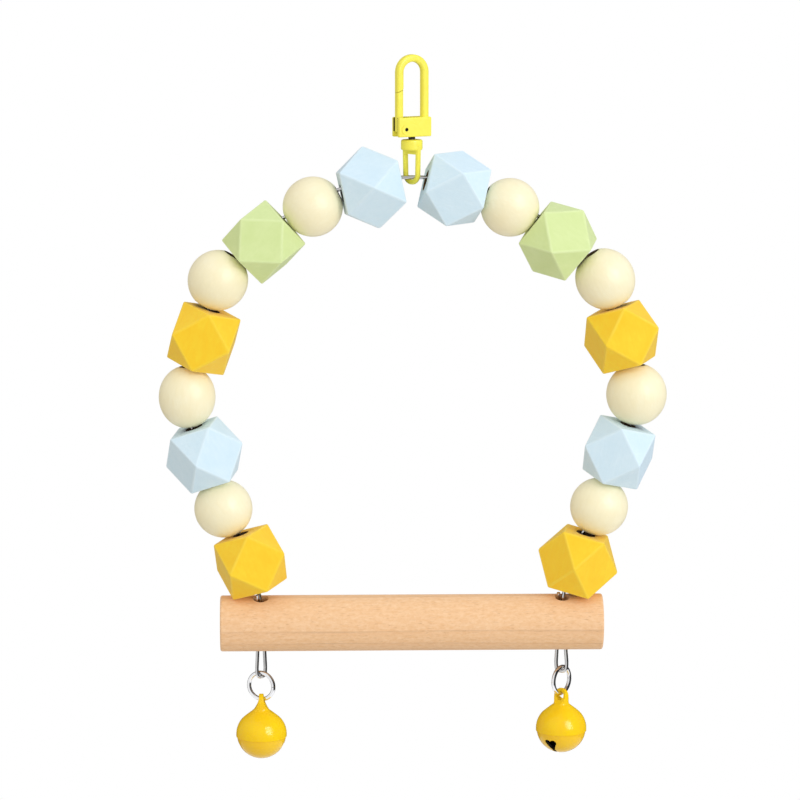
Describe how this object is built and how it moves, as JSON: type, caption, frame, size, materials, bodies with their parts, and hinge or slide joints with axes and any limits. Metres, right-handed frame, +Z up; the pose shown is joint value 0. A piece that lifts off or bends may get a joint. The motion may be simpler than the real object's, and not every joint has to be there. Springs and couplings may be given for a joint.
{
  "type": "bird swing",
  "caption": "Bird swing: a wire arch of painted wooden beads on a swivel snap hook, with a wooden perch across its feet and jingle bells hung below.",
  "frame": {"origin": "centre of the cage bar in the hook's bend", "axes": "+Z up, X along the perch, +Y away from the viewer of the picture"},
  "size_m": [0.0973, 0.0163, 0.1362],
  "materials": {
    "clasp_enamel": "gloss enamel",
    "bell_enamel": "gloss enamel",
    "wire_steel": "bright drawn",
    "ring_chrome": "plated",
    "spring_steel": "drawn",
    "pellet_steel": "tumbled",
    "perch_wood": "bare sanded",
    "blue_paint": "satin paint",
    "green_paint": "satin paint",
    "orange_paint": "satin paint",
    "cream_paint": "satin paint"
  },
  "bodies": {
    "hook": {"snap_hook": "clasp_enamel", "gate_rivet": "clasp_enamel", "gate_spring": "spring_steel"},
    "gate": {"gate": "clasp_enamel"},
    "eye": {"swivel_eye": "clasp_enamel"},
    "arch": {"arch_wire": "wire_steel", "perch": "perch_wood"},
    "left_bead_1_blue": {"left_bead_1_blue": "blue_paint"},
    "left_bead_2_cream": {"left_bead_2_cream": "cream_paint"},
    "left_bead_3_green": {"left_bead_3_green": "green_paint"},
    "left_bead_4_cream": {"left_bead_4_cream": "cream_paint"},
    "left_bead_5_orange": {"left_bead_5_orange": "orange_paint"},
    "left_bead_6_cream": {"left_bead_6_cream": "cream_paint"},
    "left_bead_7_blue": {"left_bead_7_blue": "blue_paint"},
    "left_bead_8_cream": {"left_bead_8_cream": "cream_paint"},
    "left_bead_9_orange": {"left_bead_9_orange": "orange_paint"},
    "right_bead_1_blue": {"right_bead_1_blue": "blue_paint"},
    "right_bead_2_cream": {"right_bead_2_cream": "cream_paint"},
    "right_bead_3_green": {"right_bead_3_green": "green_paint"},
    "right_bead_4_cream": {"right_bead_4_cream": "cream_paint"},
    "right_bead_5_orange": {"right_bead_5_orange": "orange_paint"},
    "right_bead_6_cream": {"right_bead_6_cream": "cream_paint"},
    "right_bead_7_blue": {"right_bead_7_blue": "blue_paint"},
    "right_bead_8_cream": {"right_bead_8_cream": "cream_paint"},
    "right_bead_9_orange": {"right_bead_9_orange": "orange_paint"},
    "left_ring": {"left_jump_ring": "ring_chrome"},
    "left_bell": {"left_bell_cap": "bell_enamel", "left_bell_cup": "bell_enamel"},
    "left_pellet": {"left_bell_pellet": "pellet_steel"},
    "right_ring": {"right_jump_ring": "ring_chrome"},
    "right_bell": {"right_bell_cap": "bell_enamel", "right_bell_cup": "bell_enamel"},
    "right_pellet": {"right_bell_pellet": "pellet_steel"}
  },
  "joints": [
    {"name": "gate_pivot", "type": "hinge", "parent": "hook", "child": "gate", "pos_m": [-0.00172, -0.0008, -0.0107], "axis": [-0.4226, 0.9063, 0], "range_deg": [0, 20], "stiffness_Nm_per_rad": 0.01, "springref_deg": -20.05, "deforming": ["gate_spring"]},
    {"name": "swivel", "type": "hinge", "parent": "hook", "child": "eye", "pos_m": [0, 0, -0.01215], "axis": [0, 0, 1], "continuous": true},
    {"name": "arch_swing", "type": "hinge", "parent": "eye", "child": "arch", "pos_m": [0, 0, -0.0199], "axis": [1, 0, 0], "range_deg": [-60, 60]},
    {"name": "left_bead_1_blue_spin", "type": "hinge", "parent": "arch", "child": "left_bead_1_blue", "pos_m": [-0.00773, 0, -0.02183], "axis": [-0.9758, -0.0872, -0.2007], "continuous": true},
    {"name": "left_bead_2_cream_spin", "type": "hinge", "parent": "arch", "child": "left_bead_2_cream", "pos_m": [-0.01879, 0, -0.02547], "axis": [-0.8906, 0, -0.4549], "continuous": true},
    {"name": "left_bead_3_green_spin", "type": "hinge", "parent": "arch", "child": "left_bead_3_green", "pos_m": [-0.02817, 0, -0.03218], "axis": [-0.7365, -0.0332, -0.6756], "continuous": true},
    {"name": "left_bead_4_cream_spin", "type": "hinge", "parent": "arch", "child": "left_bead_4_cream", "pos_m": [-0.0369, 0, -0.03949], "axis": [-0.525, 0, -0.8511], "continuous": true},
    {"name": "left_bead_5_orange_spin", "type": "hinge", "parent": "arch", "child": "left_bead_5_orange", "pos_m": [-0.0397, 0, -0.05067], "axis": [-0.2981, 0.0541, -0.953], "continuous": true},
    {"name": "left_bead_6_cream_spin", "type": "hinge", "parent": "arch", "child": "left_bead_6_cream", "pos_m": [-0.04295, 0, -0.06192], "axis": [-0.0078, 0, -1], "continuous": true},
    {"name": "left_bead_7_blue_spin", "type": "hinge", "parent": "arch", "child": "left_bead_7_blue", "pos_m": [-0.03977, 0, -0.0732], "axis": [0.3396, 0.0523, -0.9391], "continuous": true},
    {"name": "left_bead_8_cream_spin", "type": "hinge", "parent": "arch", "child": "left_bead_8_cream", "pos_m": [-0.03619, 0, -0.08368], "axis": [0.5095, 0, -0.8605], "continuous": true},
    {"name": "left_bead_9_orange_spin", "type": "hinge", "parent": "arch", "child": "left_bead_9_orange", "pos_m": [-0.03104, -0.0011, -0.09394], "axis": [0.3312, -0.0192, -0.9434], "range_deg": [-42, 5]},
    {"name": "right_bead_1_blue_spin", "type": "hinge", "parent": "arch", "child": "right_bead_1_blue", "pos_m": [0.0081, 0, -0.02206], "axis": [0.9605, 0.061, -0.2716], "continuous": true},
    {"name": "right_bead_2_cream_spin", "type": "hinge", "parent": "arch", "child": "right_bead_2_cream", "pos_m": [0.01869, 0, -0.0257], "axis": [0.8903, 0, -0.4553], "continuous": true},
    {"name": "right_bead_3_green_spin", "type": "hinge", "parent": "arch", "child": "right_bead_3_green", "pos_m": [0.02788, 0, -0.03218], "axis": [0.7771, -0.0698, -0.6255], "continuous": true},
    {"name": "right_bead_4_cream_spin", "type": "hinge", "parent": "arch", "child": "right_bead_4_cream", "pos_m": [0.03696, 0, -0.03949], "axis": [0.5244, 0, -0.8515], "continuous": true},
    {"name": "right_bead_5_orange_spin", "type": "hinge", "parent": "arch", "child": "right_bead_5_orange", "pos_m": [0.04011, 0, -0.05065], "axis": [0.2844, -0.0366, -0.958], "continuous": true},
    {"name": "right_bead_6_cream_spin", "type": "hinge", "parent": "arch", "child": "right_bead_6_cream", "pos_m": [0.04315, 0, -0.06177], "axis": [0.0113, 0, -0.9999], "continuous": true},
    {"name": "right_bead_7_blue_spin", "type": "hinge", "parent": "arch", "child": "right_bead_7_blue", "pos_m": [0.03987, 0, -0.07304], "axis": [-0.2971, 0.0785, -0.9516], "continuous": true},
    {"name": "right_bead_8_cream_spin", "type": "hinge", "parent": "arch", "child": "right_bead_8_cream", "pos_m": [0.03615, 0, -0.08364], "axis": [-0.5091, 0, -0.8607], "continuous": true},
    {"name": "right_bead_9_orange_spin", "type": "hinge", "parent": "arch", "child": "right_bead_9_orange", "pos_m": [0.03209, -0.0006, -0.09427], "axis": [-0.2586, 0.0523, -0.9646], "range_deg": [-20, 3]},
    {"name": "left_ring_swing", "type": "hinge", "parent": "arch", "child": "left_ring", "pos_m": [-0.02912, 0, -0.11687], "axis": [0.4226, 0.9063, 0], "range_deg": [-50, 50]},
    {"name": "left_bell_swing", "type": "hinge", "parent": "left_ring", "child": "left_bell", "pos_m": [-0.02912, 0, -0.12127], "axis": [0.9063, -0.4226, 0], "range_deg": [-45, 45]},
    {"name": "left_pellet_roll", "type": "hinge", "parent": "left_bell", "child": "left_pellet", "pos_m": [-0.02912, 0, -0.12817], "axis": [1, 0, 0], "range_deg": [-50, 50]},
    {"name": "right_ring_swing", "type": "hinge", "parent": "arch", "child": "right_ring", "pos_m": [0.02912, 0, -0.11607], "axis": [-0.766, 0.6428, 0], "range_deg": [-50, 50]},
    {"name": "right_bell_swing", "type": "hinge", "parent": "right_ring", "child": "right_bell", "pos_m": [0.02912, 0, -0.12047], "axis": [0.6428, 0.766, 0], "range_deg": [-45, 45]},
    {"name": "right_pellet_roll", "type": "hinge", "parent": "right_bell", "child": "right_pellet", "pos_m": [0.02912, 0, -0.12737], "axis": [1, 0, 0], "range_deg": [-50, 50]}
  ]
}
